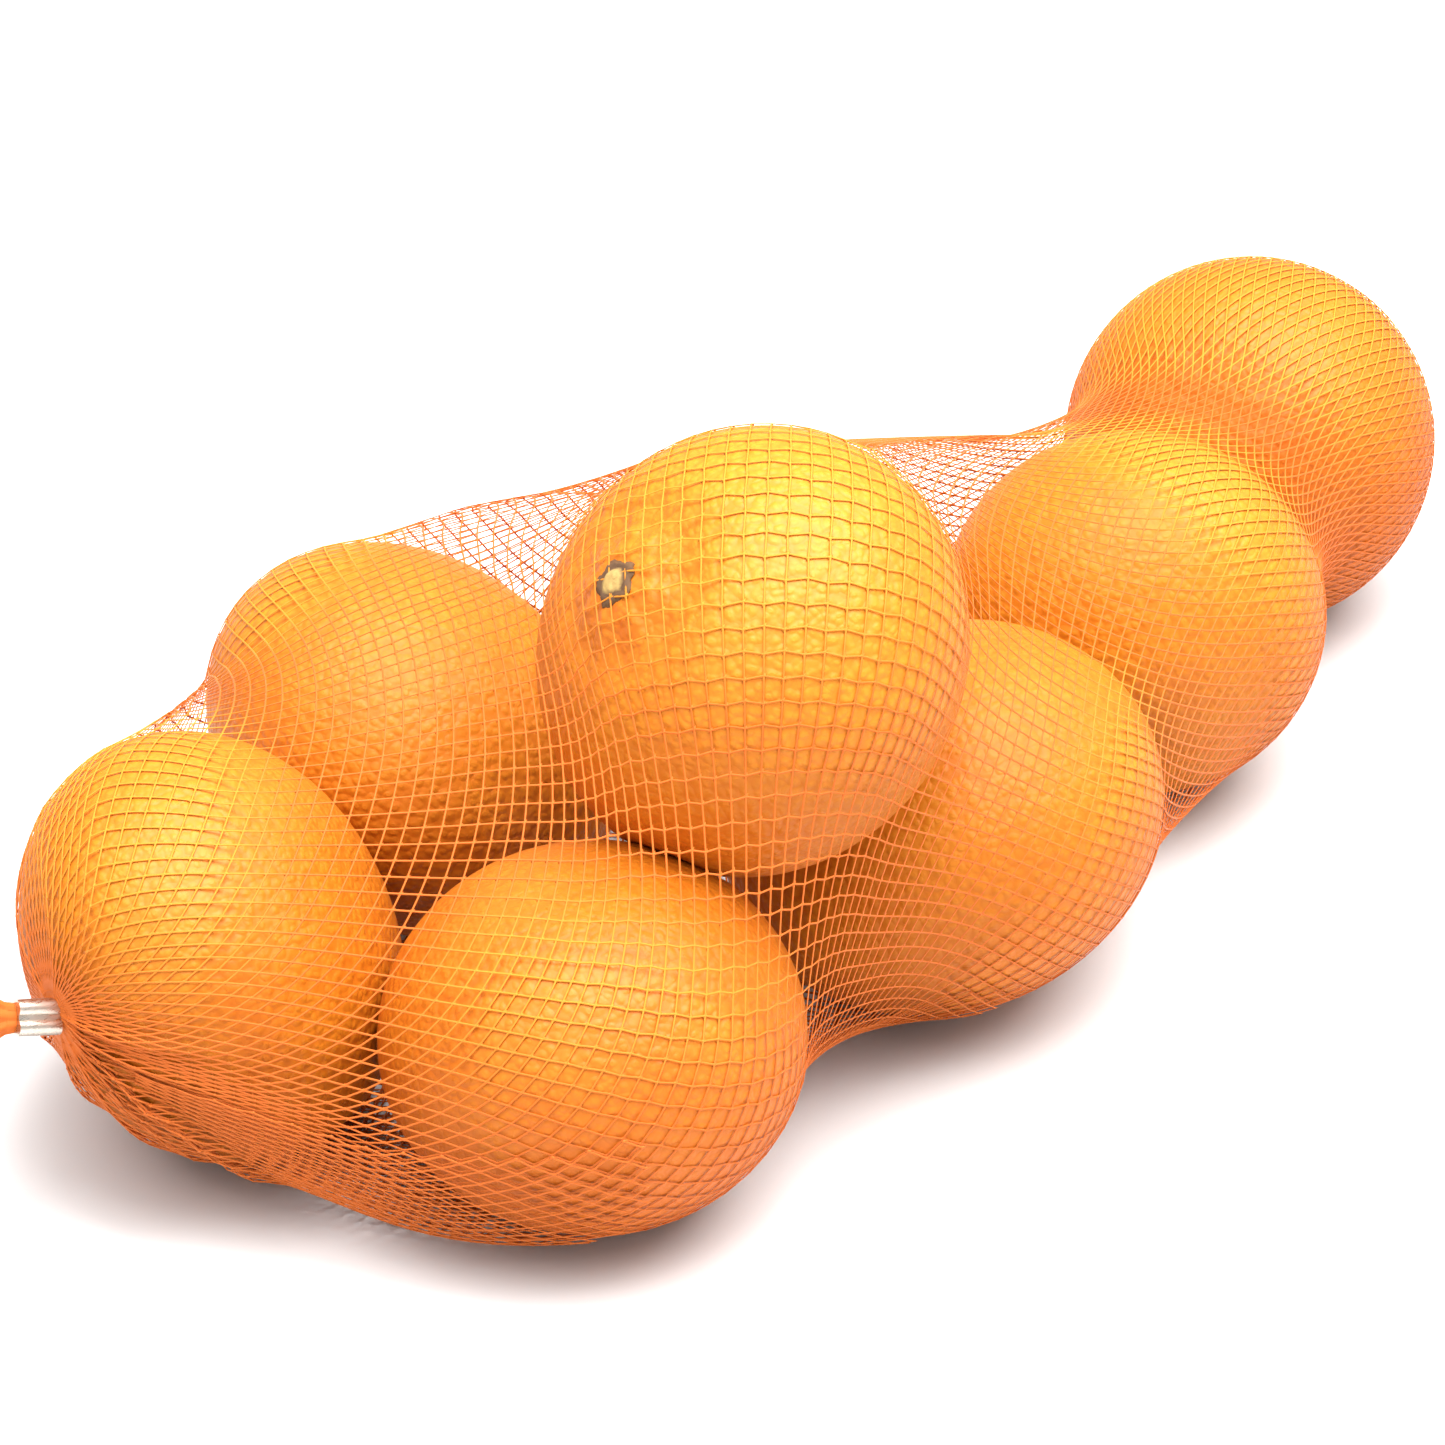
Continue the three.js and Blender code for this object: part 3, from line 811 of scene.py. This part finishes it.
def peel_finish():
    """Mandarin peel: yellow to orange patches, pebbles with painted shade in the hollows between, painted
    light that makes it yellower on top and more orange below, a soft oily gloss.
    """
    material, tree, skin = new_finish("mandarin_peel")
    coordinates = tree.nodes.new("ShaderNodeTexCoord").outputs
    place = coordinates["Object"]
    tint = add_node(tree, "ShaderNodeAttribute", attribute_name="tint").outputs["Fac"]
    patches = add_noise(tree, place, PATCH_NOISE)
    patches.inputs["Roughness"].default_value = PATCH_ROUGHNESS
    patch_tint = ramp(tree, patches.outputs[0], NOISE_SPREAD, PATCH_TINT)
    # Painted light and shade: the peel is painted yellower where it faces up and more orange where it faces
    # down
    upward = add_node(tree, "ShaderNodeSeparateXYZ", {0: coordinates["Normal"]}).outputs[2]
    yellowness = calc(tree, "ADD", calc(tree, "MULTIPLY_ADD", upward, PAINTED_TOP_LIGHT, tint), patch_tint)
    ground = blend(tree, yellowness, ORANGE_PEEL, YELLOW_PEEL)
    warp = add_noise(tree, place, WARP_NOISE).outputs["Color"]
    warped = vector_calc(tree, "ADD", place, vector_calc(tree, "MULTIPLY", warp, (PEBBLE_WARP * MM,) * 3))
    pebbles = add_node(tree, "ShaderNodeTexVoronoi", {
        "Vector": warped, "Scale": 1 / (PEBBLE_SIZE * MM), "Smoothness": PEBBLE_SMOOTHNESS},
        feature="SMOOTH_F1").outputs["Distance"]
    hollow = ramp(tree, pebbles, HOLLOWS_FROM)
    # Painted shade: the hollows between the pebbles, which the bump also sinks, are painted darker
    colour = blend(tree, calc(tree, "MULTIPLY", hollow, HOLLOW_SHADE), ground, HOLLOW_SHADE_COLOUR)
    tree.links.new(colour, skin.inputs["Base Color"])
    grain = add_noise(tree, place, GRAIN_NOISE).outputs[0]
    relief = calc(tree, "SUBTRACT", calc(tree, "MULTIPLY", grain, GRAIN_SHARE), hollow)
    add_bump(tree, skin, relief, PEBBLE_STRENGTH, PEBBLE_DEPTH)
    skin.inputs["Roughness"].default_value = PEEL_ROUGHNESS
    skin.inputs["Specular IOR Level"].default_value = PEEL_GLOSS
    return material


def net_finish():
    """Thin orange thread with a soft sheen, painted yellower on top as painted light, and left in its
    shaded colour over the gaps as painted shade.
    """
    material, tree, plastic = new_finish("orange_net")
    painted_light = add_node(tree, "ShaderNodeAttribute", attribute_name="painted_light").outputs["Fac"]
    tree.links.new(blend(tree, painted_light, NET_COLOUR, LIT_NET_COLOUR), plastic.inputs["Base Color"])
    plastic.inputs["Roughness"].default_value = NET_ROUGHNESS
    plastic.inputs["Specular IOR Level"].default_value = NET_GLOSS
    return material


def button_finish():
    """Dry stem button: pale yellow-green middle, dark broken ring, brown lobes."""
    material, tree, dry = new_finish("stem_button")
    place = tree.nodes.new("ShaderNodeTexCoord").outputs["Object"]
    from_axis = add_node(tree, "ShaderNodeAttribute", attribute_name="from_middle").outputs["Fac"]
    grain = add_noise(tree, place, DRY_NOISE).outputs[0]
    blurred = calc(tree, "ADD", from_axis, calc(tree, "MULTIPLY_ADD", grain, BUTTON_BLUR, -BUTTON_BLUR / 2))
    inner = blend(tree, ramp(tree, blurred, BUTTON_RING_FROM), BUTTON_MIDDLE, BUTTON_RING)
    colour = blend(tree, ramp(tree, blurred, BUTTON_EDGE_FROM), inner, BUTTON_EDGE)
    tree.links.new(colour, dry.inputs["Base Color"])
    add_bump(tree, dry, grain, BUTTON_GRAIN_STRENGTH, BUTTON_GRAIN_DEPTH)
    dry.inputs["Roughness"].default_value = BUTTON_ROUGHNESS
    return material


def clip_finish():
    """Bright aluminium with fine draw marks along the strip; its warm tint is a painted reflection of the
    orange bag round it.
    """
    material, tree, metal = new_finish("clip_aluminium")
    place = tree.nodes.new("ShaderNodeTexCoord").outputs["Object"]
    drawn_out = vector_calc(tree, "MULTIPLY", place, DRAW_MARK_SCALES)
    marks = add_noise(tree, drawn_out, DRAW_MARK_NOISE).outputs[0]
    tree.links.new(blend(tree, marks, DULL_ALUMINIUM, BRIGHT_ALUMINIUM), metal.inputs["Base Color"])
    tree.links.new(ramp(tree, marks, NOISE_SPREAD, CLIP_ROUGHNESS), metal.inputs["Roughness"])
    add_bump(tree, metal, marks, DRAW_MARK_STRENGTH, DRAW_MARK_DEPTH)
    metal.inputs["Metallic"].default_value = 1.0
    return material


PEEL = peel_finish()
NET = net_finish()
STEM = button_finish()
CLIP_METAL = clip_finish()


# Helpers for the pieces

def keep_piece(piece):
    """Adds a piece to the part: it lies still and is shown in place of the filled net's solid."""
    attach(piece, "root")
    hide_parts("filled_net")


def press_flat(piece, name):
    """Flattens a mandarin where it rests on the floor and where it touches its neighbours."""
    fruit = MANDARINS[name]
    count = len(piece.data.vertices)
    points = np.empty(count * 3, np.float32)
    piece.data.vertices.foreach_get("co", points)
    points = points.reshape(-1, 3).astype(float) / MM
    walls = [(np.array([0, 0, -1.0]), -PEEL_OFF_FLOOR)]
    for other_name, other in MANDARINS.items():
        if other_name == name:
            continue
        apart = other["middle"] - fruit["middle"]
        distance = np.linalg.norm(apart)
        direction = apart / distance
        overlap = reach(fruit, direction) + reach(other, direction) - distance
        if overlap > 0:
            edge = fruit["middle"] @ direction + reach(fruit, direction) - overlap / 2
            walls.append((direction, edge))
    for direction, edge in walls:
        past = np.maximum(points @ direction - edge, 0)
        points -= past[:, None] * direction
    piece.data.vertices.foreach_set("co", (points * MM).astype(np.float32).ravel())
    piece.data.update()


# The mandarins and their stem buttons

PEEL_TREE = peel_tree()
BUTTON_TREE = button_tree()
for number, (name, fruit) in enumerate(MANDARINS.items()):
    stem_axis = -fruit["axis"] if name in STEM_DOWN else fruit["axis"]
    seed = SEED_STEP * number + SEED
    piece = grown("mandarin_" + name, bpy.data.meshes.new(name), PEEL_TREE, {
        "Across": fruit["across"] * MM, "Squat": fruit["squat"], "Detail": PEEL_DETAIL,
        "Stem Axis": stem_axis.tolist(), "Middle": (fruit["middle"] * MM).tolist(), "Seed": seed,
        "Lump Depth": LUMP_DEPTH * MM, "Shoulder Depth": SHOULDER_DEPTH * MM,
        "Furrow Depth": FURROW_DEPTH * MM, "Furrows": float(FURROWS),
        "Stem Well Depth": STEM_WELL_DEPTH * MM, "Crown Depth": CROWN_DEPTH * MM,
        "Tint": TINTS[name], "Peel": PEEL})
    press_flat(piece, name)
    keep_piece(piece)
    if name in WITH_BUTTON:
        stem_end = fruit["middle"] + stem_axis * (fruit["radius"] - BUTTON_SINK) * fruit["squat"]
        piece = grown("stem_button_" + name, bpy.data.meshes.new(name), BUTTON_TREE, {
            "Size": BUTTON_SIZE * MM, "Rise": BUTTON_RISE * MM, "Lobes": float(BUTTON_LOBES),
            "Seed": seed, "Stem Axis": stem_axis.tolist(), "Place": (stem_end * MM).tolist(), "Stem": STEM})
        keep_piece(piece)

# The net's threads, layer by layer and each way they slant

net = lay_net(pull_tight())
along, _, outward = net_directions(net)
painted_light = painted_light_share(net)
layers = {"net_threads": (net, np.full(painted_light.shape, True))}
layers.update((name, lay_pleat(net, *pleat)) for name, pleat in PLEATS.items())
ring_numbers, column_numbers = np.indices(painted_light.shape)
joint_numbers = ring_numbers * CELLS_ROUND + column_numbers
left_lay = joint_numbers[ring_numbers, (column_numbers - ring_numbers) % CELLS_ROUND]
THREADS = thread_tree()
for layer, (points, laid) in layers.items():
    for side, lay in (("right", joint_numbers), ("left", left_lay)):
        edges = np.stack([lay[:-1], lay[1:]], axis=-1).reshape(-1, 2)
        edges = edges[laid.ravel()[edges].all(axis=1)]
        mesh = new_mesh(layer + "_" + side, points.reshape(-1, 3), edges=edges.tolist(),
                        vectors={"outward": outward.reshape(-1, 3)}, numbers={"painted_light": painted_light.ravel()})
        piece = grown(layer + "_" + side, mesh, THREADS, {
            "Width": THREAD_WIDTH * MM, "Thickness": THREAD_THICKNESS * MM, "Net": NET})
        keep_piece(piece)

# The joints where the threads are welded, in all layers

welded = [laid & (ring_numbers > 0) & (ring_numbers < len(net) - 1) for points, laid in layers.values()]
joints = new_mesh(
    "net_joints", np.concatenate([points[at] for (points, laid), at in zip(layers.values(), welded)]),
    vectors={"along": np.concatenate([along[at] for at in welded]),
             "outward": np.concatenate([outward[at] for at in welded])},
    numbers={"painted_light": np.concatenate([painted_light[at] for at in welded])})
piece = grown("net_joints", joints, joint_tree(), {
    "Length": JOINT_LENGTH * MM, "Width": JOINT_WIDTH * MM, "Thickness": JOINT_THICKNESS * MM,
    "Net": NET})
keep_piece(piece)

# The clips keep their solids

for node in ("clip_near", "clip_far"):
    clip = bpy.data.objects[node]
    clip.data.materials.clear()
    clip.data.materials.append(CLIP_METAL)


# Floor, light and camera

floor_mesh = bpy.data.meshes.new("floor")
corners = [(x * FLOOR_REACH, y * FLOOR_REACH, 0) for x, y in ((-1, -1), (1, -1), (1, 1), (-1, 1))]
floor_mesh.from_pydata(corners, [], [(0, 1, 2, 3)])
floor = bpy.data.objects.new("floor", floor_mesh)
bpy.context.collection.objects.link(floor)
floor_material, _, floor_paint = new_finish("pale_floor")
floor_paint.inputs["Base Color"].default_value = FLOOR_COLOUR
floor_paint.inputs["Roughness"].default_value = FLOOR_ROUGHNESS
floor_mesh.materials.append(floor_material)

world = bpy.data.worlds.new("studio")
world.use_nodes = True
sky = world.node_tree
seen = sky.nodes.new("ShaderNodeLightPath").outputs["Is Camera Ray"]
sky_light = add_node(sky, "ShaderNodeMix", {
    "Factor": seen, "A": SKY_LIGHT, "B": SEEN_SKY}, data_type="FLOAT").outputs[0]
sky.links.new(sky_light, sky.nodes["Background"].inputs["Strength"])
sky.nodes["Background"].inputs["Color"].default_value = SKY_COLOUR
bpy.context.scene.world = world


def softbox(name, at, size, power):
    """A square lamp that shines on the bag."""
    light = bpy.data.lights.new(name, "AREA")
    light.shape = "SQUARE"
    light.size = size
    light.energy = power
    lamp = bpy.data.objects.new(name, light)
    lamp.location = at
    lamp.rotation_mode = "QUATERNION"
    lamp.rotation_quaternion = (Vector(SOFTBOX_TARGET) - Vector(at)).to_track_quat("-Z", "Y")
    bpy.context.collection.objects.link(lamp)


for name, (at, size, power) in SOFTBOXES.items():
    softbox(name, at, size, power)

bpy.context.scene.view_settings.view_transform = "Standard"
bpy.context.scene.cycles.diffuse_bounces = DIFFUSE_BOUNCES
azimuth, elevation = math.radians(CAMERA_AZIMUTH), math.radians(CAMERA_ELEVATION)
level = math.cos(elevation)
away = Vector((math.sin(-azimuth) * level, math.cos(azimuth) * level, -math.sin(elevation)))
camera_data = bpy.data.cameras.new("camera")
camera_data.lens = CAMERA_LENS
camera = bpy.data.objects.new("camera", camera_data)
camera.location = (Vector(CAMERA_TARGET) - away * CAMERA_DISTANCE) * MM
camera.rotation_mode = "QUATERNION"
camera.rotation_quaternion = away.to_track_quat("-Z", "Y")
bpy.context.collection.objects.link(camera)
bpy.context.scene.camera = camera
